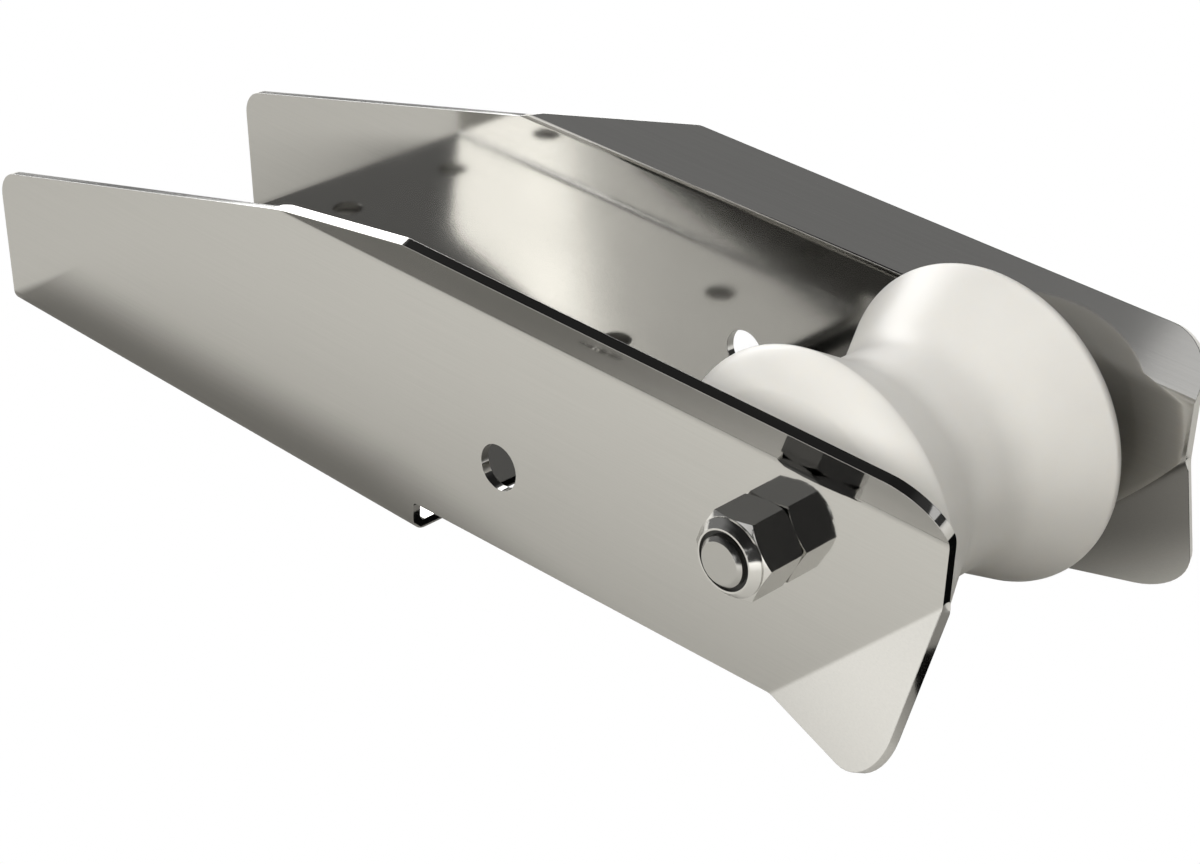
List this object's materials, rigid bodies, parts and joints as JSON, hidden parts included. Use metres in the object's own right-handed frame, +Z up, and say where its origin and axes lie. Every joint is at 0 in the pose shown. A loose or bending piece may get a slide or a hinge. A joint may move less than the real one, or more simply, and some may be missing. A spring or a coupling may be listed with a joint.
{
  "type": "chain fairlead",
  "caption": "Folded stainless bow channel with flared cheeks and a waisted nylon roller on a bolt, to lead an anchor chain over the bow.",
  "frame": {"origin": "centre of the four deck holes, on the underside of the floor", "axes": "+X forward to the roller, +Y to the side with the bolt's head, +Z up from the deck"},
  "size_m": [0.3358, 0.1192, 0.0911],
  "materials": {
    "stainless_sheet": "polished stainless steel sheet",
    "nylon": "moulded white nylon, satin",
    "stainless_fastener": "polished stainless fastener",
    "insert_nylon": "dark nylon locking ring"
  },
  "bodies": {
    "frame": {"channel": "stainless_sheet", "axle_bolt": "stainless_fastener", "lock_nut": "stainless_fastener", "nut_insert": "insert_nylon", "spacer_near": "nylon", "spacer_far": "nylon"},
    "roller": {"roller": "nylon"}
  },
  "joints": [
    {"name": "roller_spin", "type": "hinge", "parent": "frame", "child": "roller", "pos_m": [0.207, 0, 0.0511], "axis": [0, 1, 0], "continuous": true}
  ]
}
